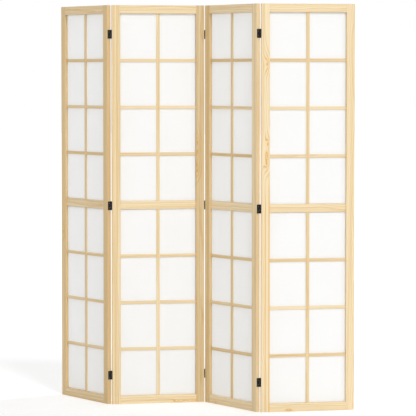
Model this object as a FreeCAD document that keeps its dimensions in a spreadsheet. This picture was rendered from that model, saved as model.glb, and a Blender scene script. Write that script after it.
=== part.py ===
import FreeCAD, Part
import math
import os
import re

# A folding room divider: four framed paper panels in a row, hinged edge to edge.
# Each panel is a timber frame of two stiles and three rails, with a lattice of half-lapped
# bars in front of two sheets of paper, which thin beads hold in a rebate at the back.
# Frame of the part: X along the row of panels, the viewer at -Y, Z up from the floor.
# Frame of a panel: X across it from its left edge, Y from its front face to its back face.
# Lengths are in millimetres and angles in degrees.

SIZES = {
    # the frame of a panel
    "panel_height": 1700.0,
    "panel_width": 400.0,
    "panel_thickness": 17.0,
    "stile_width": 35.5,
    "top_rail_height": 35.0,
    "middle_rail_height": 35.0,
    "bottom_rail_height": 35.0,
    "middle_rail_centre": 850.0,
    "frame_arris": 1.0,
    # the lattice
    "lattice_setback": 6.5,
    "cross_bar_width": 13.0,
    "vertical_bar_width": 14.0,
    "tenon_length": 5.0,
    "bar_arris": 0.5,
    # the paper and the beads behind it
    "paper_setback": 11.0,
    "paper_thickness": 0.5,
    "paper_lap": 5.0,
    "rebate_width": 6.0,
    "bead_width": 8.0,
    "bead_recess": 0.5,
    "bead_arris": 0.8,
    # the dowels of the frame joints
    "dowel_diameter": 6.0,
    "dowel_spacing": 16.0,
    "dowel_in_stile": 16.0,
    "dowel_in_rail": 20.0,
    "joint_clearance": 0.1,
    # the hinges
    "hinge_end_distance": 123.5,
    "middle_hinge_height": 848.0,
    "leaf_height": 37.0,
    "leaf_width": 15.0,
    "leaf_thickness": 0.8,
    "pin_offset": 1.2,
    "knuckle_diameter": 3.0,
    "knuckle_gap": 0.4,
    "pin_diameter": 1.4,
    "pin_dome": 0.6,
    "running_clearance": 0.05,
    "screw_shank": 2.8,
    "screw_length": 15.0,
    "screw_tip": 3.0,
    "screw_spacing": 19.0,
    "screw_clearance": 0.05,
    "recess_span": 2.6,
    "recess_width": 0.6,
    "recess_depth": 0.6,
    # how far a cut runs past the face that it opens
    "cut_overrun": 2.0,
    # how far each pair of panels is folded as it stands, from a straight line
    "fold_angle": 70.0,
}
PANEL_COUNT = 4
CROSS_BARS_PER_OPENING = 3
# the sine of the angle below which two directions count as parallel
PARALLEL = 0.001

doc = FreeCAD.newDocument("RoomDivider")
sheet = doc.addObject("Spreadsheet::Sheet", "Sizes")
for row, (alias, value) in enumerate(SIZES.items(), start=1):
    sheet.set("A%d" % row, alias)
    sheet.set("B%d" % row, str(value))
    sheet.setAlias("B%d" % row, alias)
doc.recompute()


def size(alias):
    """The value of one cell of the sheet."""
    return float(getattr(sheet, alias))


def bound(formula):
    """A formula in the sheet's aliases, with the sheet named before each."""
    return re.sub(r"[a-z]+(_[a-z]+)+", r"Sizes.\g<0>", formula)


# Heights of the two openings and of what stands in them

MIDDLE_TOP = "(middle_rail_centre + middle_rail_height / 2)"
MIDDLE_BOTTOM = "(middle_rail_centre - middle_rail_height / 2)"
TOP_RAIL_FOOT = "(panel_height - top_rail_height)"
OPENINGS = {"lower": ("bottom_rail_height", MIDDLE_BOTTOM), "upper": (MIDDLE_TOP, TOP_RAIL_FOOT)}
RAILS = {
    "bottom": ("0 * panel_height", "bottom_rail_height"),
    "middle": (MIDDLE_BOTTOM, MIDDLE_TOP),
    "top": (TOP_RAIL_FOOT, "panel_height"),
}
LAP_DEPTH = "((lattice_setback + paper_setback) / 2)"


def rail_front(rail):
    """The middle rail stands back with the lattice, and the others are flush with the stiles."""
    return "lattice_setback" if rail == "middle" else "0 * panel_thickness"


def cross_bar_heights():
    """The centre heights of the cross bars, which divide each opening evenly."""
    heights = []
    for low, high in OPENINGS.values():
        for number in range(1, CROSS_BARS_PER_OPENING + 1):
            share = number / (CROSS_BARS_PER_OPENING + 1)
            heights.append("(%s + (%s - %s) * %r)" % (low, high, low, share))
    return heights


# Small makers: every size and place is a formula in the sheet's aliases

def block(name, x_span, y_span, z_span):
    """A box between two formulas along each axis."""
    item = doc.addObject("Part::Box", name)
    for prop, axis, (low, high) in zip(("Length", "Width", "Height"), "xyz", (x_span, y_span, z_span)):
        item.setExpression(prop, bound("(%s) - (%s)" % (high, low)))
        item.setExpression("Placement.Base." + axis, bound(low))
    return item


def turned(item, axis):
    """Lays a solid of revolution along X or -X instead of Z."""
    angle = {"x": 90.0, "-x": -90.0, "z": 0.0}[axis]
    item.Placement.Rotation = FreeCAD.Rotation(FreeCAD.Vector(0, 1, 0), angle)
    return item


def rod(name, axis, start, radius, length):
    """A cylinder from a start point, given as three formulas, along z, x or -x."""
    item = turned(doc.addObject("Part::Cylinder", name), axis)
    item.setExpression("Radius", bound(radius))
    item.setExpression("Height", bound(length))
    for letter, formula in zip("xyz", start):
        item.setExpression("Placement.Base." + letter, bound(formula))
    return item


def taper(name, axis, start, first_radius, last_radius, length):
    """A cone from a start point, along z, x or -x."""
    item = turned(doc.addObject("Part::Cone", name), axis)
    item.setExpression("Radius1", bound(first_radius))
    item.setExpression("Radius2", bound(last_radius))
    item.setExpression("Height", bound(length))
    for letter, formula in zip("xyz", start):
        item.setExpression("Placement.Base." + letter, bound(formula))
    return item


def eased(base, axis, radius_alias):
    """The long edges of a box, those along the given axis, rounded over."""
    doc.recompute()
    along = {"x": FreeCAD.Vector(1, 0, 0), "z": FreeCAD.Vector(0, 0, 1)}[axis]
    item = doc.addObject("Part::Fillet", base.Name + "_eased")
    item.Base = base
    radius = size(radius_alias)
    edges = []
    for number, edge in enumerate(base.Shape.Edges, start=1):
        if edge.tangentAt(edge.FirstParameter).cross(along).Length < PARALLEL:
            edges.append((number, radius, radius))
    item.Edges = edges
    return item


def joined(name, items):
    """Several solids fused into one object."""
    if len(items) == 1:
        return items[0]
    item = doc.addObject("Part::MultiFuse", name)
    item.Shapes = items
    return item


def carved(name, base, tools):
    """A solid with all of its holes and housings cut in one step."""
    item = doc.addObject("Part::Cut", name)
    item.Base = base
    item.Tool = joined(name + "_tools", tools)
    return item


def grouped(name, items):
    """Like pieces that stay separate solids in one object."""
    item = doc.addObject("Part::Compound", name)
    item.Links = items
    return item


finished = []


def finish(item, label, placement):
    """Names a finished sub-part and puts it in its place in the row."""
    item.Label = label
    item.Placement = placement
    finished.append(item)


# The places of the panels, each turned the other way from the one before

def panel_places():
    """The placement of each panel, with the whole row centred over the origin."""
    half_fold = size("fold_angle") / 2
    width = size("panel_width")
    thickness = size("panel_thickness")
    pin_offset = size("pin_offset")
    places = []
    corner = FreeCAD.Vector(0, 0, 0)
    for number in range(1, PANEL_COUNT + 1):
        turn = -half_fold if number % 2 else half_fold
        spin = FreeCAD.Rotation(FreeCAD.Vector(0, 0, 1), turn)
        pin_in = pin_depth(number - 1, thickness, pin_offset)
        if number > 1:
            corner = pin_point - spin.multVec(FreeCAD.Vector(-pin_offset, pin_in, 0))
        places.append(FreeCAD.Placement(corner, spin))
        pin_out = pin_depth(number, thickness, pin_offset)
        pin_point = corner + spin.multVec(FreeCAD.Vector(width + pin_offset, pin_out, 0))
    plan = [place.multVec(FreeCAD.Vector(x, y, 0)) for place in places
            for x in (0, width) for y in (0, thickness)]
    centre_x = (min(point.x for point in plan) + max(point.x for point in plan)) / 2
    centre_y = (min(point.y for point in plan) + max(point.y for point in plan)) / 2
    for place in places:
        place.Base = place.Base - FreeCAD.Vector(centre_x, centre_y, 0)
    return places


def pin_depth(fold_number, thickness, pin_offset):
    """Odd folds have their pins behind the back face, and even folds before the front face."""
    return thickness + pin_offset if fold_number % 2 else -pin_offset


# The timber frame of a panel

def across(side, near, far):
    """The X span of a feature between two distances from a panel's left or right edge."""
    if side == "left":
        return (near, far)
    return ("panel_width - (%s)" % far, "panel_width - (%s)" % near)


def dowel_places(rail):
    """The two (depth, height) centres of the dowels at each end of a rail."""
    low, high = RAILS[rail]
    depth = "(%s + panel_thickness) / 2" % rail_front(rail)
    centre = "(%s + %s) / 2" % (low, high)
    return [(depth, "%s - dowel_spacing / 2" % centre), (depth, "%s + dowel_spacing / 2" % centre)]


def dowel_holes(name, rails, side, reach):
    """Holes that run into a frame piece from the joint line between stile and rail."""
    holes = []
    start = "stile_width" if side == "left" else "panel_width - stile_width"
    into_stile = reach == "dowel_in_stile"
    towards_left = (side == "left") == into_stile
    axis = "-x" if towards_left else "x"
    back_off = "cut_overrun" if towards_left else "-cut_overrun"
    for rail in rails:
        for number, (depth, height) in enumerate(dowel_places(rail)):
            holes.append(rod("%s_%s_dowel_hole_%d" % (name, rail, number), axis,
                             ("%s + %s" % (start, back_off), depth, height),
                             "dowel_diameter / 2 + joint_clearance",
                             "%s + joint_clearance + cut_overrun" % reach))
    return holes


def hinge_heights():
    """The centre height of each hinge: near the foot, by the middle rail and near the top."""
    return ["hinge_end_distance", "middle_hinge_height", "panel_height - hinge_end_distance"]


def screw_heights():
    """The height of every screw in one row of hinge leaves."""
    heights = []
    for centre in hinge_heights():
        heights.append("%s - screw_spacing / 2" % centre)
        heights.append("%s + screw_spacing / 2" % centre)
    return heights


def leaf_depth(fold_number):
    """The depth of the middle of a hinge leaf, which starts at the face on the pin's side."""
    return "panel_thickness - leaf_width / 2" if fold_number % 2 else "leaf_width / 2"


def stile(panel, side, place):
    """An upright of the frame, with its rebates, lattice housings, dowel holes and screw holes."""
    name = "panel_%d_%s_stile" % (panel, side)
    base = eased(block(name + "_blank", across(side, "0 * stile_width", "stile_width"),
                       ("0 * panel_thickness", "panel_thickness"),
                       ("0 * panel_height", "panel_height")), "z", "frame_arris")
    tools = []
    for opening, (low, high) in OPENINGS.items():
        tools.append(block("%s_%s_rebate" % (name, opening),
                           across(side, "stile_width - rebate_width", "stile_width + cut_overrun"),
                           ("paper_setback", "panel_thickness + cut_overrun"),
                           ("%s - rebate_width" % low, "%s + rebate_width" % high)))
    for number, height in enumerate(cross_bar_heights()):
        tools.append(block("%s_housing_%d" % (name, number),
                           across(side, "stile_width - tenon_length - joint_clearance",
                                  "stile_width + cut_overrun"),
                           ("lattice_setback - joint_clearance", "paper_setback + joint_clearance"),
                           ("%s - cross_bar_width / 2 - joint_clearance" % height,
                            "%s + cross_bar_width / 2 + joint_clearance" % height)))
    tools += dowel_holes(name, RAILS, side, "dowel_in_stile")
    fold_number = panel - 1 if side == "left" else panel
    if 1 <= fold_number < PANEL_COUNT:
        axis = "x" if side == "left" else "-x"
        edge = "-cut_overrun" if side == "left" else "panel_width + cut_overrun"
        for number, height in enumerate(screw_heights()):
            tools.append(rod("%s_screw_hole_%d" % (name, number), axis,
                             (edge, leaf_depth(fold_number), height),
                             "screw_shank / 2 + screw_clearance",
                             "screw_length + screw_clearance + cut_overrun"))
    finish(carved(name, base, tools), name, place)


def rail(panel, which, place):
    """A cross piece of the frame between the stiles, rebated where it borders an opening."""
    name = "panel_%d_%s_rail" % (panel, which)
    low, high = RAILS[which]
    front = rail_front(which)
    base = eased(block(name + "_blank", ("stile_width", "panel_width - stile_width"),
                       (front, "panel_thickness"), (low, high)), "x", "frame_arris")
    edges = []
    if which != "bottom":
        edges.append(("lower", "%s - cut_overrun" % low, "%s + rebate_width" % low,
                      "%s + tenon_length + joint_clearance" % low))
    if which != "top":
        edges.append(("upper", "%s - rebate_width" % high, "%s + cut_overrun" % high,
                      "%s - tenon_length - joint_clearance" % high))
    tools = []
    for edge, rebate_low, rebate_high, housing_end in edges:
        tools.append(block("%s_%s_rebate" % (name, edge),
                           ("stile_width - cut_overrun", "panel_width - stile_width + cut_overrun"),
                           ("paper_setback", "panel_thickness + cut_overrun"),
                           (rebate_low, rebate_high)))
        if which != "middle":
            span = (rebate_low, housing_end) if edge == "lower" else (housing_end, rebate_high)
            tools.append(block("%s_%s_housing" % (name, edge),
                               ("panel_width / 2 - vertical_bar_width / 2 - joint_clearance",
                                "panel_width / 2 + vertical_bar_width / 2 + joint_clearance"),
                               ("lattice_setback - joint_clearance", "paper_setback + joint_clearance"),
                               span))
    for side in ("left", "right"):
        tools += dowel_holes("%s_%s" % (name, side), [which], side, "dowel_in_rail")
    finish(carved(name, base, tools), name, place)


def dowels(panel, place):
    """The hidden pins that hold each rail to the stiles."""
    name = "panel_%d_dowels" % panel
    pins = []
    for which in RAILS:
        for depth, height in dowel_places(which):
            for side, start in (("left", "stile_width - dowel_in_stile"),
                                ("right", "panel_width - stile_width - dowel_in_rail")):
                pins.append(rod("%s_%s_%s_%d" % (name, which, side, len(pins)), "x",
                                (start, depth, height), "dowel_diameter / 2",
                                "dowel_in_stile + dowel_in_rail"))
    finish(grouped(name, pins), name, place)


# The lattice, the paper and the beads

def vertical_bars(panel, place):
    """An upright bar in each opening, halved over the cross bars at the back."""
    name = "panel_%d_vertical_bars" % panel
    ends = {"lower": ("bottom_rail_height - tenon_length", MIDDLE_BOTTOM),
            "upper": (MIDDLE_TOP, "%s + tenon_length" % TOP_RAIL_FOOT)}
    x_span = ("panel_width / 2 - vertical_bar_width / 2", "panel_width / 2 + vertical_bar_width / 2")
    bars = []
    for row, (opening, span) in enumerate(ends.items()):
        base = eased(block("%s_%s_blank" % (name, opening), x_span,
                           ("lattice_setback", "paper_setback"), span), "z", "bar_arris")
        first = row * CROSS_BARS_PER_OPENING
        tools = []
        for height in cross_bar_heights()[first:first + CROSS_BARS_PER_OPENING]:
            tools.append(block("%s_%s_lap_%d" % (name, opening, len(tools)),
                               ("%s - cut_overrun" % x_span[0], "%s + cut_overrun" % x_span[1]),
                               (LAP_DEPTH, "paper_setback + cut_overrun"),
                               ("%s - cross_bar_width / 2 - joint_clearance" % height,
                                "%s + cross_bar_width / 2 + joint_clearance" % height)))
        bars.append(carved("%s_%s" % (name, opening), base, tools))
    finish(grouped(name, bars), name, place)


def cross_bars(panel, place):
    """Three level bars in each opening, halved at the front and let into both stiles."""
    name = "panel_%d_cross_bars" % panel
    bars = []
    for number, height in enumerate(cross_bar_heights()):
        base = eased(block("%s_blank_%d" % (name, number),
                           ("stile_width - tenon_length", "panel_width - stile_width + tenon_length"),
                           ("lattice_setback", "paper_setback"),
                           ("%s - cross_bar_width / 2" % height, "%s + cross_bar_width / 2" % height)),
                     "x", "bar_arris")
        lap = block("%s_lap_%d" % (name, number),
                    ("panel_width / 2 - vertical_bar_width / 2 - joint_clearance",
                     "panel_width / 2 + vertical_bar_width / 2 + joint_clearance"),
                    ("lattice_setback - cut_overrun", LAP_DEPTH),
                    ("%s - cross_bar_width / 2 - cut_overrun" % height,
                     "%s + cross_bar_width / 2 + cut_overrun" % height))
        bars.append(carved("%s_%d" % (name, number), base, [lap]))
    finish(grouped(name, bars), name, place)


def paper(panel, opening, place):
    """A sheet of paper that laps the rebate all round its opening."""
    name = "panel_%d_%s_paper" % (panel, opening)
    low, high = OPENINGS[opening]
    cut_size = block(name + "_cut", ("stile_width - paper_lap", "panel_width - stile_width + paper_lap"),
                     ("paper_setback", "paper_setback + paper_thickness"),
                     ("%s - paper_lap" % low, "%s + paper_lap" % high))
    finish(grouped(name, [cut_size]), name, place)


def back_beads(panel, place):
    """Four thin strips round each opening, which hold the paper in its rebate."""
    name = "panel_%d_back_beads" % panel
    y_span = ("paper_setback + paper_thickness", "panel_thickness - bead_recess")
    outer = "(stile_width - rebate_width + joint_clearance)"
    inner = "(%s + bead_width)" % outer
    strips = []
    for opening, (low, high) in OPENINGS.items():
        foot = "(%s - rebate_width + joint_clearance)" % low
        head = "(%s + rebate_width - joint_clearance)" % high
        for side in ("left", "right"):
            strips.append(eased(block("%s_%s_%s" % (name, opening, side), across(side, outer, inner),
                                      y_span, (foot, head)), "z", "bead_arris"))
        for level, span in (("foot", (foot, "%s + bead_width" % foot)),
                            ("head", ("%s - bead_width" % head, head))):
            strips.append(eased(block("%s_%s_%s" % (name, opening, level),
                                      (inner, "panel_width - %s" % inner), y_span, span),
                                "x", "bead_arris"))
    finish(grouped(name, strips), name, place)


# The hinges of a fold: a leaf on each edge face, three knuckles and a pin

def knuckle_bands(side):
    """The height bands, from a hinge's foot, of the knuckles that a leaf carries."""
    third = "leaf_height / 3"
    if side == "left":
        return [("0 * leaf_height", "%s - knuckle_gap / 2" % third),
                ("2 * %s + knuckle_gap / 2" % third, "leaf_height")]
    return [("%s + knuckle_gap / 2" % third, "2 * %s - knuckle_gap / 2" % third)]


def fold_values(fold_number, side):
    """The formulas that place a leaf on the left or right panel of a fold."""
    behind = fold_number % 2 == 1
    edge = "panel_width" if side == "left" else "0 * panel_width"
    sign = "+" if side == "left" else "-"
    pin_y = "panel_thickness + pin_offset" if behind else "-pin_offset"
    outside = "%s %s leaf_thickness" % (edge, sign)
    plate_x = (edge, outside) if side == "left" else (outside, edge)
    if behind:
        plate_y = ("panel_thickness - leaf_width", "panel_thickness - knuckle_gap")
        tab_y = (plate_y[1], pin_y)
    else:
        plate_y = ("knuckle_gap", "leaf_width")
        tab_y = (pin_y, plate_y[0])
    pin_x = "%s %s pin_offset" % (edge, sign)
    return edge, plate_x, plate_y, tab_y, pin_x, pin_y


def leaves(fold_number, side, place):
    """The three leaves of a fold on one panel, with their knuckles and countersunk holes."""
    name = "fold_%d_%d_%s_leaves" % (fold_number, fold_number + 1, side)
    edge, plate_x, plate_y, tab_y, pin_x, pin_y = fold_values(fold_number, side)
    outward = "x" if side == "left" else "-x"
    plates = []
    for number, centre in enumerate(hinge_heights()):
        tag = "%s_%d" % (name, number)
        foot = "%s - leaf_height / 2" % centre
        parts = [block(tag + "_plate", plate_x, plate_y, (foot, "%s + leaf_height / 2" % centre))]
        for band, (low, high) in enumerate(knuckle_bands(side)):
            low_z, high_z = "%s + %s" % (foot, low), "%s + %s" % (foot, high)
            parts.append(block("%s_tab_%d" % (tag, band), plate_x, tab_y, (low_z, high_z)))
            parts.append(rod("%s_knuckle_%d" % (tag, band), "z", (pin_x, pin_y, low_z),
                             "knuckle_diameter / 2", "(%s) - (%s)" % (high_z, low_z)))
        tools = [rod(tag + "_bore", "z", (pin_x, pin_y, "%s - cut_overrun" % foot),
                     "pin_diameter / 2 + running_clearance", "leaf_height + 2 * cut_overrun")]
        for number_here, offset in enumerate(("- screw_spacing / 2", "+ screw_spacing / 2")):
            tools.append(taper("%s_countersink_%d" % (tag, number_here), outward,
                               (edge, leaf_depth(fold_number), "%s %s" % (centre, offset)),
                               "screw_shank / 2 + screw_clearance",
                               "screw_shank / 2 + screw_clearance + leaf_thickness",
                               "leaf_thickness"))
        plates.append(carved(tag, joined(tag + "_body", parts), tools))
    finish(grouped(name, plates), name, place)


def pins(fold_number, place):
    """The three hinge pins of a fold, with a low dome at each end."""
    name = "fold_%d_%d_pins" % (fold_number, fold_number + 1)
    pin_x, pin_y = fold_values(fold_number, "left")[4:]
    rods = []
    for number, centre in enumerate(hinge_heights()):
        tag = "%s_%d" % (name, number)
        foot = "%s - leaf_height / 2" % centre
        head = "%s + leaf_height / 2" % centre
        rods.append(joined(tag, [
            rod(tag + "_shank", "z", (pin_x, pin_y, foot), "pin_diameter / 2", "leaf_height"),
            taper(tag + "_head", "z", (pin_x, pin_y, head), "knuckle_diameter / 2",
                  "pin_diameter / 2", "pin_dome"),
            taper(tag + "_foot", "z", (pin_x, pin_y, "%s - pin_dome" % foot), "pin_diameter / 2",
                  "knuckle_diameter / 2", "pin_dome")]))
    finish(grouped(name, rods), name, place)


def screws(fold_number, side, place):
    """The six countersunk wood screws that hold a fold's leaves to one panel."""
    name = "fold_%d_%d_%s_screws" % (fold_number, fold_number + 1, side)
    inward, outward = ("-x", "x") if side == "left" else ("x", "-x")
    edge, plate_x = fold_values(fold_number, side)[:2]
    face = plate_x[1] if side == "left" else plate_x[0]
    sign = "-" if side == "left" else "+"
    depth = leaf_depth(fold_number)
    rods = []
    for number, height in enumerate(screw_heights()):
        tag = "%s_%d" % (name, number)
        body = joined(tag + "_body", [
            taper(tag + "_head", outward, (edge, depth, height), "screw_shank / 2",
                  "screw_shank / 2 + leaf_thickness", "leaf_thickness"),
            rod(tag + "_shank", inward, (edge, depth, height), "screw_shank / 2",
                "screw_length - screw_tip"),
            taper(tag + "_tip", inward,
                  ("%s %s (screw_length - screw_tip)" % (edge, sign), depth, height),
                  "screw_shank / 2", "0 * screw_shank", "screw_tip")])
        bottom = "%s %s recess_depth" % (face, sign)
        top = "%s %s cut_overrun" % (face, "+" if side == "left" else "-")
        slot_x = (bottom, top) if side == "left" else (top, bottom)
        slots = []
        for wide, tall in (("recess_span", "recess_width"), ("recess_width", "recess_span")):
            slots.append(block("%s_slot_%d" % (tag, len(slots)), slot_x,
                               ("%s - %s / 2" % (depth, wide), "%s + %s / 2" % (depth, wide)),
                               ("%s - %s / 2" % (height, tall), "%s + %s / 2" % (height, tall))))
        rods.append(carved(tag, body, slots))
    finish(grouped(name, rods), name, place)


places = panel_places()
for panel in range(1, PANEL_COUNT + 1):
    place = places[panel - 1]
    stile(panel, "left", place)
    stile(panel, "right", place)
    for which in RAILS:
        rail(panel, which, place)
    dowels(panel, place)
    vertical_bars(panel, place)
    cross_bars(panel, place)
    for opening in OPENINGS:
        paper(panel, opening, place)
    back_beads(panel, place)

for fold_number in range(1, PANEL_COUNT):
    left_place, right_place = places[fold_number - 1], places[fold_number]
    leaves(fold_number, "left", left_place)
    leaves(fold_number, "right", right_place)
    pins(fold_number, left_place)
    screws(fold_number, "left", left_place)
    screws(fold_number, "right", right_place)

doc.recompute()

for item in doc.Objects:
    if "Invalid" in item.State or "Error" in item.State:
        raise RuntimeError("%s did not build: %s" % (item.Label, item.State))
for item in finished:
    if item.Shape.isNull() or not item.Shape.isValid() or not item.Shape.Solids:
        raise RuntimeError("%s has no valid solid" % item.Label)

os.makedirs("parts", exist_ok=True)
for item in finished:
    item.Shape.exportStep("parts/%s.step" % item.Label)

whole = FreeCAD.BoundBox()
for item in finished:
    whole.add(item.Shape.BoundBox)
print("%d sub-parts, %d solids" % (len(finished), sum(len(item.Shape.Solids) for item in finished)))
print("box %.2f %.2f %.2f to %.2f %.2f %.2f" % (whole.XMin, whole.YMin, whole.ZMin,
                                              whole.XMax, whole.YMax, whole.ZMax))
for number, place in enumerate(places, start=1):
    print("panel %d corner %.3f %.3f turned %.1f" % (number, place.Base.x, place.Base.y,
                                                   math.degrees(place.Rotation.Angle)))
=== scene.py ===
import bpy
import math
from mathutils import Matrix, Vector


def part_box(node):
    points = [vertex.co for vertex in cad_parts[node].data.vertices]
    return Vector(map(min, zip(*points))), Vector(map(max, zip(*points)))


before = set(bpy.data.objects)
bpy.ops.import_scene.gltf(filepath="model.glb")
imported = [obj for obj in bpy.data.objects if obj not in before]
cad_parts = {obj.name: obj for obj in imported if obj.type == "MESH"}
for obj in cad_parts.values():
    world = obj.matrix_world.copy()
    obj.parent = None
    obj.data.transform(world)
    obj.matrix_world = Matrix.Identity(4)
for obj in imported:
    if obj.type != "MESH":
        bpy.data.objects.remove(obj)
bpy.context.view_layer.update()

# The folding screen stands in a zigzag: odd panels turn one way about Z and even ones the other.

PANELS = (1, 2, 3, 4)
FOLDS = ("1_2", "2_3", "3_4")
PANEL_TURN = math.radians(35)

# The photograph's camera, fitted to the edges of the panels: place, lens and direction.

CAMERA_PLACE = (4.3268, -10.1985, 1.4157)
CAMERA_AZIMUTH = math.radians(22.7)
CAMERA_PITCH = math.radians(-2.975)
LENS = 226.1
SENSOR = 36.0
NEAREST = 0.1
FARTHEST = 200.0

# Soft studio light: an even white surround, a broad key from the front right, and a light behind the
# screen that shines through the paper. The pale floor is lifted to white where it is seen, and keeps the
# screen's shadow.

SURROUND = 0.60
KEY_STRENGTH = 1.40
KEY_AZIMUTH = math.radians(45)
KEY_HEIGHT = math.radians(38)
BACK_STRENGTH = 1.45
BACK_AZIMUTH = math.radians(145)
BACK_HEIGHT = math.radians(30)
LIGHT_SPREAD = math.radians(16)
FLOOR_SPAN = 90.0
FLOOR_ALBEDO = 0.86
FLOOR_ROUGHNESS = 0.9
FLOOR_LIFT = 0.20


def linear(red, green, blue):
    """A colour given as 0 to 255 sRGB values, as the linear values that nodes take."""
    def channel(value):
        value /= 255
        return value / 12.92 if value <= 0.04045 else ((value + 0.055) / 1.055) ** 2.4
    return (channel(red), channel(green), channel(blue), 1.0)


# Short ways to write node trees

class Wire:
    """A node's output that takes part in sums, so that node maths reads like plain maths."""

    def __init__(self, tree, socket):
        self.tree = tree
        self.socket = socket

    def __add__(self, other):
        return maths("ADD", self, other)

    def __sub__(self, other):
        return maths("SUBTRACT", self, other)

    def __rsub__(self, other):
        return maths("SUBTRACT", other, self)

    def __mul__(self, other):
        return maths("MULTIPLY", self, other)

    def __truediv__(self, other):
        return maths("DIVIDE", self, other)


def feed(socket, value):
    """Links a wire to a node's input, or sets the input to a plain value."""
    if isinstance(value, Wire):
        value.tree.links.new(value.socket, socket)
    else:
        socket.default_value = value


def new_node(tree, kind, inputs=None, **settings):
    """Adds a node with its settings and inputs."""
    node = tree.nodes.new(kind)
    for name, value in settings.items():
        setattr(node, name, value)
    for key, value in (inputs or {}).items():
        feed(node.inputs[key], value)
    return node


def wire(tree, kind, inputs=None, output=0, **settings):
    """Adds a node and gives one of its outputs."""
    return Wire(tree, new_node(tree, kind, inputs, **settings).outputs[output])


def wires(tree, kind, vector):
    """Adds a node that splits a vector or colour, and gives its three outputs."""
    outputs = new_node(tree, kind, {0: vector}).outputs
    return [Wire(tree, outputs[place]) for place in range(3)]


def maths(operation, *values):
    """A maths node's result, in the tree that its wires belong to."""
    tree = next(value.tree for value in values if isinstance(value, Wire))
    return wire(tree, "ShaderNodeMath", dict(enumerate(values)), operation=operation)


def combine(x, y, z):
    """A vector from three numbers, of which the first is a wire."""
    return wire(x.tree, "ShaderNodeCombineXYZ", {0: x, 1: y, 2: z})


def stretched(vector, x, y, z):
    """A vector scaled along each axis."""
    return wire(vector.tree, "ShaderNodeVectorMath", {0: vector, 1: (x, y, z)}, operation="MULTIPLY")


def noise(vector, scale, detail=2.0, roughness=0.5):
    """A noise texture's value at a vector."""
    return wire(vector.tree, "ShaderNodeTexNoise",
                {"Vector": vector, "Scale": scale, "Detail": detail, "Roughness": roughness})


def ramp(factor, stops):
    """A colour ramp through (place, grey) stops."""
    node = new_node(factor.tree, "ShaderNodeValToRGB", {0: factor})
    elements = node.color_ramp.elements
    while len(elements) < len(stops):
        elements.new(0.5)
    for element, (place, grey) in zip(elements, stops):
        element.position = place
        element.color = (grey, grey, grey, 1.0)
    return Wire(factor.tree, node.outputs[0])


def blend(factor, first, second, blend_type="MIX"):
    """Two colours mixed by a factor; the factor or the first colour is a wire."""
    tree = factor.tree if isinstance(factor, Wire) else first.tree
    return wire(tree, "ShaderNodeMix", {0: factor, 6: first, 7: second}, output=2, data_type="RGBA",
                blend_type=blend_type, clamp_factor=True)


# How sharply wear starts at an edge, and how patchy it is.

WEAR_GAIN = 5.0
WEAR_PATCHES = 0.8
WEAR_EVERYWHERE = 0.1


def edge_wear(tree, radius, patches):
    """Up to one along a piece's edges, in patches, and zero on its faces."""
    rounded = wire(tree, "ShaderNodeBevel", {"Radius": radius}, samples=6)
    flat = wire(tree, "ShaderNodeNewGeometry", output="Normal")
    agreement = wire(tree, "ShaderNodeVectorMath", {0: rounded, 1: flat}, output=1, operation="DOT_PRODUCT")
    edge = maths("MINIMUM", (1.0 - agreement) * WEAR_GAIN, 1.0)
    return edge * (patches * WEAR_PATCHES + WEAR_EVERYWHERE)


def new_material(name):
    """A material, its node tree and its surface shader."""
    material = bpy.data.materials.new(name)
    material.use_nodes = True
    return material, material.node_tree, material.node_tree.nodes["Principled BSDF"]


def surface(shader, colour, roughness, height, bump):
    """Gives a shader its colour and roughness, and a bump of a strength and a depth in metres."""
    strength, depth = bump
    relief = wire(height.tree, "ShaderNodeBump", {"Strength": strength, "Distance": depth, "Height": height})
    feed(shader.inputs["Base Color"], colour)
    feed(shader.inputs["Roughness"], roughness)
    feed(shader.inputs["Normal"], relief)


# Places in a panel and in its boards

# The height of a panel's middle, and the cross bars' places above and below it, in metres. The bars are
# numbered outwards from the middle, and the second is the middle one of its opening.

PANEL_MIDDLE = 0.85
FIRST_BAR = 0.216875
BAR_PITCH = 0.199375
MIDDLE_BAR = 2

# What keeps the chances of two boards apart.

BOARD_SHIFT = 9.0
SEED_STEP = 7.31


def panel_place(panel):
    """The middle of a panel in plan, and its turn about Z."""
    low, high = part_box("panel_%d_top_rail" % panel)
    return (low + high) / 2, -PANEL_TURN if panel % 2 else PANEL_TURN


def panel_vector(tree, panel):
    """Coordinates in a panel's own frame: across from its middle, through its depth, and up."""
    middle, turn = panel_place(panel)
    place = wire(tree, "ShaderNodeTexCoord", output="Object")
    inputs = {"Vector": place, "Location": (middle.x, middle.y, 0.0), "Rotation": (0.0, 0.0, turn)}
    return wire(tree, "ShaderNodeMapping", inputs, vector_type="TEXTURE")


def board_middle(node, panel, grain):
    """How far a single board's centre line is across from its panel's middle, or up."""
    low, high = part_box(node)
    if grain == "across":
        return (low.z + high.z) / 2
    middle, turn = panel_place(panel)
    offset = (low + high) / 2 - middle
    return offset.x * math.cos(turn) + offset.y * math.sin(turn)


def own_board(node, panel, grain, rule, across, up):
    """A number for the board a point belongs to, and its distance from that board's centre line."""
    if rule == "one":
        wide = across if grain == "up" else up
        return up * 0.0, wide - board_middle(node, panel, grain)
    height = up - PANEL_MIDDLE
    half = maths("SIGN", height)
    if rule == "halves":
        return half, across
    reach = maths("ABSOLUTE", height) - FIRST_BAR
    step = maths("ROUND", reach / BAR_PITCH)
    return (step + 1.0) * half, reach - step * BAR_PITCH


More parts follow.
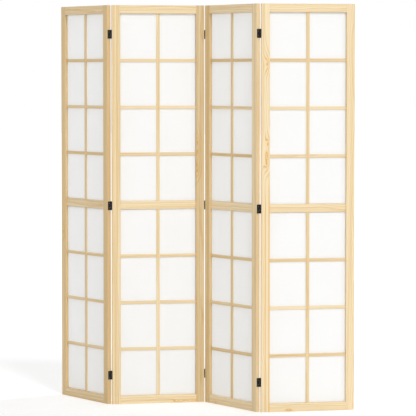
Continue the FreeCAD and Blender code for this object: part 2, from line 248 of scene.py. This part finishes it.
class Board:
    """Where a point lies in its own board, and three chances from 0 to 1 that belong to that board."""

    def __init__(self, tree, node, panel, grain, rule, seed):
        self.across, self.depth, self.up = wires(tree, "ShaderNodeSeparateXYZ", panel_vector(tree, panel))
        self.along = self.up if grain == "up" else self.across
        self.grain = grain
        self.number, self.wide = own_board(node, panel, grain, rule, self.across, self.up)
        chance = wire(tree, "ShaderNodeTexWhiteNoise", {"W": self.number + seed * SEED_STEP}, output="Color",
                      noise_dimensions="1D")
        self.luck = wires(tree, "ShaderNodeSeparateColor", chance)
        self.shift = self.luck[0] * BOARD_SHIFT + seed

    def lengthwise_noise(self, rates):
        """Noise with its own rate across and along the grain, different on every board."""
        return noise(combine(self.wide * rates[0], self.shift, self.along * rates[1]), 1.0)


# Pine: growth rings cut by the face of the board, fine fibres, slow colour drift and knots

LIGHT_PINE = linear(240, 220, 182)
WARM_PINE = linear(216, 187, 136)
LATE_PINE = linear(204, 168, 104)
RESIN = linear(218, 168, 78)
HANDLED_PINE = linear(186, 148, 96)

# How a board is cut from the log, in metres: the width of a growth ring and how far it ripples, how far
# the pith lies to the side, wanders along the board and lies behind the face.

RING_WIDTH = 0.0052
RING_RIPPLE = 0.004
PITH_SIDE = 0.044
PITH_WANDER = 0.060
PITH_DEPTH_LEAST = 0.022
PITH_DEPTH_SPREAD = 0.040

# The rates of the timber's noise: of the pith's wander along a board, and of ripples and streaks across
# the grain and along it. A noise is its scale, detail and roughness.

WANDER_RATE = 1.5
WANDER_NOISE = (1.7, 3.0)
RIPPLE_RATES = (40.0, 6.0)
STREAK_RATES = (130.0, 1.3)
FIBRE_NOISE = (700.0, 3.0, 0.6)
FIBRE_STRETCH = 0.016

# From the start of a growth ring to its end: how much late wood shows.

RING_PROFILE = ((0.0, 0.10), (0.40, 0.0), (0.74, 0.25), (0.92, 1.0), (1.0, 0.20))

# A knot pushes the rings aside, is longer along the grain and stains the wood round it; in knot radii.

KNOT_PUSH = 3.2
KNOT_FADE = 0.40
KNOT_STRETCH = 3.2
KNOT_REACH = 5.0
SWIRL_FADE = ((0.20, 1.0), (0.90, 0.0))
SWIRL_OF_RINGS = 1.7
SWIRL_BETWEEN = 0.06
CORE_FADE = ((0.06, 0.45), (0.16, 0.0))

# Resin streaks: how far they stray with the pith, and how fast and how far they gain strength downwards.

RESIN_STRAY = 0.006
RESIN_GAIN = 8.0
RESIN_SHARE = 0.8

# How much of each colour is laid over the wood, and how much boards of one node differ in tone.

STREAK_CONTRAST = 2.4
LATE_SHARE = 0.55
FIBRE_SHARE = 0.55
FIBRE_START = 0.42
HANDLED_SHARE = 0.5
ONE_BOARD_SPREAD = 0.1
MANY_BOARDS_SPREAD = 0.3
MIDDLE_BAR_PALER = 0.4

# The finish of the timber: its roughness, what fibres add to it and handling takes away, the relief of
# late wood beside that of fibres, the bump's strength and depth in metres, and the reach of worn arrises.

PINE_ROUGHNESS = 0.40
FIBRE_ROUGHNESS = 0.12
HANDLED_POLISH = 0.12
LATE_RELIEF = 0.5
PINE_BUMP = (0.12, 0.0003)
PINE_IOR = 1.45
ARRIS_WEAR = 0.0012

# Knots: node, then (across from the panel's middle, height, radius) of each, in metres.

KNOTS = {
    "panel_4_left_stile": [(-0.176, 1.450, 0.0044), (-0.173, 1.119, 0.0042), (-0.177, 1.070, 0.0050),
                           (-0.179, 1.036, 0.0036)],
    "panel_2_right_stile": [(0.1695, 1.112, 0.0044), (0.1700, 1.078, 0.0046), (0.1705, 1.000, 0.0044)],
    "panel_2_bottom_rail": [(0.088, 0.008, 0.0023), (0.146, 0.008, 0.0020)],
    "panel_3_bottom_rail": [(-0.114, 0.008, 0.0023)],
    "panel_4_bottom_rail": [(-0.082, 0.007, 0.0020)],
    "panel_1_left_stile": [(-0.181, 0.720, 0.0030)],
}

# Resin streaks that run down a stile: node, then (across, top, half width) of each, in metres.

STREAKS = {
    "panel_4_left_stile": [(-0.1672, 1.020, 0.0028), (-0.1832, 0.960, 0.0016)],
    "panel_2_right_stile": [(0.1690, 0.990, 0.0012)],
}

# Tones of the boards that are warmer or paler than their kind, and a shade for the one that is darker.
# Most boards of panels 1 and 3, which face away from the key light, are made warmer as painted warm shade;
# the other tones, and the darker board's shade, are the boards' own colour.

TONES_WITH_PAINTED_SHADE = {
    "panel_1_left_stile": 1.0, "panel_1_right_stile": 1.05, "panel_1_top_rail": 0.5,
    "panel_1_middle_rail": 0.5, "panel_1_bottom_rail": 0.5, "panel_1_vertical_bars": 0.9,
    "panel_1_cross_bars": 0.9,
    "panel_2_left_stile": 0.4, "panel_2_right_stile": 0.6,
    "panel_3_left_stile": 1.05, "panel_3_right_stile": 0.4, "panel_3_vertical_bars": 0.8,
    "panel_3_cross_bars": 0.9,
    "panel_4_left_stile": 0.0,
}
SHADES = {"panel_2_right_stile": 0.87}


def knot_distance(board, knot):
    """How many radii away from a knot each point is, longer along the grain."""
    x, z, radius = knot
    long = radius * KNOT_STRETCH
    wide, tall = (radius, long) if board.grain == "up" else (long, radius)
    flat = (board.across - x) / wide
    high = (board.up - z) / tall
    return maths("SQRT", flat * flat + high * high)


def late_wood(board, drift, knots, distances):
    """How much late wood shows: rings round a pith behind the board, which knots push aside."""
    offset = board.wide - ((board.luck[1] - 0.5) * PITH_SIDE + drift * PITH_WANDER)
    reach = board.depth + (board.luck[2] * PITH_DEPTH_SPREAD + PITH_DEPTH_LEAST)
    radius = maths("SQRT", offset * offset + reach * reach)
    radius = radius + board.lengthwise_noise(RIPPLE_RATES) * RING_RIPPLE
    for knot, distance in zip(knots, distances):
        radius = radius + maths("EXPONENT", distance * -KNOT_FADE) * (knot[2] * KNOT_PUSH)
    return ramp(maths("FRACT", radius / RING_WIDTH), RING_PROFILE)


def board_tone(board, rule, tone, streak):
    """From 0, pale wood, to 1, warm wood: by board, with the painted warm shade of panels 1 and 3 among the
    boards' tones, and in long streaks.
    """
    spread = ONE_BOARD_SPREAD if rule == "one" else MANY_BOARDS_SPREAD
    warm = (streak - 0.5) * STREAK_CONTRAST + (board.luck[0] * spread + (tone - spread / 2))
    if rule == "bars":
        # the middle bar of each opening is cut from paler stock
        middle = maths("COMPARE", maths("ABSOLUTE", board.number), MIDDLE_BAR, 0.1)
        warm = warm - middle * MIDDLE_BAR_PALER
    return warm


def stain_round_knots(colour, late, distances):
    """Lays resin over the late wood round each knot, and darkens the knot itself."""
    nearest = distances[0]
    for distance in distances[1:]:
        nearest = maths("MINIMUM", nearest, distance)
    near = nearest / KNOT_REACH
    colour = blend(ramp(near, SWIRL_FADE) * (late * SWIRL_OF_RINGS + SWIRL_BETWEEN), colour, RESIN)
    return blend(ramp(near, CORE_FADE), colour, RESIN, "MULTIPLY")


def resin_streak(colour, board, drift, streak):
    """Lays a resin streak over the colour, stronger further down from its top."""
    place, top, half_width = streak
    line = (board.across - place) + drift * RESIN_STRAY
    inside = 1.0 - maths("ABSOLUTE", line) / (half_width * 2)
    below = (top - board.up) * RESIN_GAIN
    share = maths("MAXIMUM", maths("MINIMUM", below, RESIN_SHARE), 0.0)
    return blend(maths("MAXIMUM", inside, 0.0) * share, colour, RESIN)


def pine(node, panel, grain, rule, tone, seed):
    """A satin-lacquered pine for one node, with its grain along each board."""
    material, tree, shader = new_material("pine_of_" + node)
    board = Board(tree, node, panel, grain, rule, seed)
    knots = KNOTS.get(node, ())
    distances = [knot_distance(board, knot) for knot in knots]
    # the pith wanders along the board, so the rings run out in long points
    drift = noise(combine(board.along * WANDER_RATE, board.shift, 0.0), *WANDER_NOISE) - 0.5
    late = late_wood(board, drift, knots, distances)
    fibres = stretched(combine(board.wide, board.depth, board.along), 1.0, 1.0, FIBRE_STRETCH)
    fibre = noise(fibres, *FIBRE_NOISE)
    streak = board.lengthwise_noise(STREAK_RATES)
    colour = blend(board_tone(board, rule, tone, streak), LIGHT_PINE, WARM_PINE)
    colour = blend(late * LATE_SHARE, colour, LATE_PINE)
    colour = blend((fibre - FIBRE_START) * FIBRE_SHARE, colour, LATE_PINE)
    if knots:
        colour = stain_round_knots(colour, late, distances)
    for resin in STREAKS.get(node, ()):
        colour = resin_streak(colour, board, drift, resin)
    shade = SHADES.get(node, 1.0)
    colour = blend(1.0, colour, (shade, shade, shade, 1.0), "MULTIPLY")
    # handling darkens and polishes the arrises a little
    handled = edge_wear(tree, ARRIS_WEAR, streak)
    colour = blend(handled * HANDLED_SHARE, colour, HANDLED_PINE)
    roughness = (fibre * FIBRE_ROUGHNESS + PINE_ROUGHNESS) - handled * HANDLED_POLISH
    surface(shader, colour, roughness, late * LATE_RELIEF + fibre, PINE_BUMP)
    shader.inputs["IOR"].default_value = PINE_IOR
    return material


# Paper: matt white, faint long fibres in it, and some light through it from behind

PAPER_DARK = linear(246, 246, 245)
PAPER_LIGHT = linear(248, 248, 248)
PAPER_FIBRE = linear(244, 243, 240)
CLOUD_NOISE = (7.0, 3.0, 0.5)
PAPER_FIBRE_NOISE = (420.0, 4.0, 0.65)
PAPER_FIBRE_STRETCH = 0.35
PAPER_FIBRE_FADE = ((0.45, 0.0), (0.80, 0.20))
PAPER_ROUGHNESS = 0.62
PAPER_FIBRE_ROUGHNESS = 0.15
PAPER_BUMP = (0.10, 0.0002)
PAPER_IOR = 1.35
LIGHT_THROUGH = 0.40


def shoji_paper(panel):
    """One panel's paper, for both of its sheets."""
    material, tree, shader = new_material("paper_of_panel_%d" % panel)
    local = panel_vector(tree, panel)
    fibres = noise(stretched(local, 1.0, 1.0, PAPER_FIBRE_STRETCH), *PAPER_FIBRE_NOISE)
    cloudy = blend(noise(local, *CLOUD_NOISE), PAPER_DARK, PAPER_LIGHT)
    colour = blend(ramp(fibres, PAPER_FIBRE_FADE), cloudy, PAPER_FIBRE)
    surface(shader, colour, fibres * PAPER_FIBRE_ROUGHNESS + PAPER_ROUGHNESS, fibres, PAPER_BUMP)
    shader.inputs["IOR"].default_value = PAPER_IOR
    through = wire(tree, "ShaderNodeBsdfTranslucent", {"Color": colour})
    both = wire(tree, "ShaderNodeMixShader", {0: LIGHT_THROUGH, 1: Wire(tree, shader.outputs[0]), 2: through})
    feed(tree.nodes["Material Output"].inputs["Surface"], both)
    return material


# Black enamelled hinges and brighter plated screws, both worn to grey along edges and in spots

ENAMEL = {"base": linear(36, 35, 34), "rough": 0.34, "metallic": 0.0, "scale": 2600.0}
PLATING = {"base": linear(132, 129, 124), "rough": 0.26, "metallic": 0.8, "scale": 3400.0}
WORN_METAL = linear(88, 86, 82)
GRAIN_NOISE = (4.0, 0.6)
SPOT_NOISE = (5.0, 0.7)
SPOT_SCALE_SHARE = 0.16
SPOT_FADE = ((0.60, 0.0), (0.78, 0.5))
METAL_EDGE = 0.0003
METAL_EDGE_SHARE = 0.7
GRAIN_ROUGHNESS = 0.2
METAL_BUMP = (0.15, 0.0001)


def worn_metal(name, base, rough, metallic, scale):
    """Painted or plated metal; scale is that of its grain."""
    material, tree, shader = new_material(name)
    place = wire(tree, "ShaderNodeTexCoord", output="Object")
    grain = noise(place, scale, *GRAIN_NOISE)
    spots = noise(place, scale * SPOT_SCALE_SHARE, *SPOT_NOISE)
    edges = edge_wear(tree, METAL_EDGE, spots) * METAL_EDGE_SHARE
    wear = maths("MAXIMUM", ramp(spots, SPOT_FADE), edges)
    surface(shader, blend(wear, base, WORN_METAL), grain * GRAIN_ROUGHNESS + rough, grain, METAL_BUMP)
    shader.inputs["Metallic"].default_value = metallic
    return material


# Dressing the pieces

# Every piece of a panel that is cut from timber: its grain, how many boards the node holds (one, one in
# each half of the panel, or a bar at each height) and its tone, from 0, the palest, to 1, the warmest.

BOARDS = (
    ("left_stile", "up", "one", 0.1),
    ("right_stile", "up", "one", 0.1),
    ("top_rail", "across", "one", 0.0),
    ("middle_rail", "across", "one", 0.05),
    ("bottom_rail", "across", "one", 0.05),
    ("vertical_bars", "up", "halves", 0.3),
    ("cross_bars", "across", "bars", 0.6),
    ("back_beads", "up", "halves", 0.2),
    ("dowels", "across", "bars", 0.6),
)


def dress(node, material):
    """Gives a CAD node its finished material."""
    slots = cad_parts[node].data.materials
    slots.clear()
    slots.append(material)


def dress_panel(panel):
    """Every board of a panel gets its own piece of timber, and both sheets the same paper."""
    for number, (piece, grain, rule, tone) in enumerate(BOARDS):
        node = "panel_%d_%s" % (panel, piece)
        # most boards of panels 1 and 3 get warmer tones, as painted warm shade
        dress(node, pine(node, panel, grain, rule, TONES_WITH_PAINTED_SHADE.get(node, tone), panel * 13 + number))
    paper = shoji_paper(panel)
    for half in ("upper", "lower"):
        dress("panel_%d_%s_paper" % (panel, half), paper)


def dress_fold(fold, enamelled, plated):
    """The leaves and pins of a fold are enamelled, and its screws plated."""
    for piece in ("left_leaves", "right_leaves", "pins"):
        dress("fold_%s_%s" % (fold, piece), enamelled)
    for piece in ("left_screws", "right_screws"):
        dress("fold_%s_%s" % (fold, piece), plated)


# Floor, surround, lights and camera

def seen_directly(tree):
    """One for rays that show the background: from the camera, in gloss and through glass."""
    rays = new_node(tree, "ShaderNodeLightPath").outputs
    direct = maths("MAXIMUM", Wire(tree, rays["Is Camera Ray"]), Wire(tree, rays["Is Glossy Ray"]))
    return maths("MAXIMUM", direct, Wire(tree, rays["Is Transmission Ray"]))


def make_floor():
    """A wide pale floor that glows a little where it is seen, and so meets the white surround."""
    half = FLOOR_SPAN / 2
    corners = [(-half, -half, 0), (half, -half, 0), (half, half, 0), (-half, half, 0)]
    mesh = bpy.data.meshes.new("floor")
    mesh.from_pydata(corners, [], [(0, 1, 2, 3)])
    floor = bpy.data.objects.new("floor", mesh)
    bpy.context.scene.collection.objects.link(floor)
    material, tree, shader = new_material("pale_floor")
    shader.inputs["Base Color"].default_value = (FLOOR_ALBEDO, FLOOR_ALBEDO, FLOOR_ALBEDO, 1.0)
    shader.inputs["Roughness"].default_value = FLOOR_ROUGHNESS
    shader.inputs["Specular IOR Level"].default_value = 0.0
    glow = wire(tree, "ShaderNodeEmission", {"Strength": seen_directly(tree) * FLOOR_LIFT})
    both = wire(tree, "ShaderNodeAddShader", {0: Wire(tree, shader.outputs[0]), 1: glow})
    feed(tree.nodes["Material Output"].inputs["Surface"], both)
    mesh.materials.append(material)


def make_surround():
    """White where it is seen, and dimmer as a light."""
    world = bpy.data.worlds.new("surround")
    world.use_nodes = True
    bpy.context.scene.world = world
    tree = world.node_tree
    background = tree.nodes["Background"]
    background.inputs["Color"].default_value = (1.0, 1.0, 1.0, 1.0)
    feed(background.inputs["Strength"], seen_directly(tree) * (1.0 - SURROUND) + SURROUND)


def make_sun(name, strength, azimuth, height):
    """A broad distant light that shines from a compass direction and a height."""
    light = bpy.data.lights.new(name, "SUN")
    light.energy = strength
    light.angle = LIGHT_SPREAD
    sun = bpy.data.objects.new(name, light)
    bpy.context.scene.collection.objects.link(sun)
    level = math.cos(height)
    towards = Vector((math.sin(azimuth) * level, -math.cos(azimuth) * level, math.sin(height)))
    sun.rotation_mode = "QUATERNION"
    sun.rotation_quaternion = towards.to_track_quat("Z", "Y")


def make_camera():
    """The photograph's camera."""
    data = bpy.data.cameras.new("camera")
    data.lens = LENS
    data.sensor_width = SENSOR
    data.clip_start = NEAREST
    data.clip_end = FARTHEST
    camera = bpy.data.objects.new("camera", data)
    camera.location = CAMERA_PLACE
    camera.rotation_euler = (math.radians(90) + CAMERA_PITCH, 0.0, CAMERA_AZIMUTH)
    bpy.context.scene.collection.objects.link(camera)
    bpy.context.scene.camera = camera


for panel in PANELS:
    dress_panel(panel)
black_enamel = worn_metal("black_enamel", **ENAMEL)
dark_plate = worn_metal("dark_plate", **PLATING)
for fold in FOLDS:
    dress_fold(fold, black_enamel, dark_plate)

make_floor()
make_surround()
make_sun("key", KEY_STRENGTH, KEY_AZIMUTH, KEY_HEIGHT)
make_sun("back", BACK_STRENGTH, BACK_AZIMUTH, BACK_HEIGHT)
make_camera()
bpy.context.scene.view_settings.view_transform = "Standard"
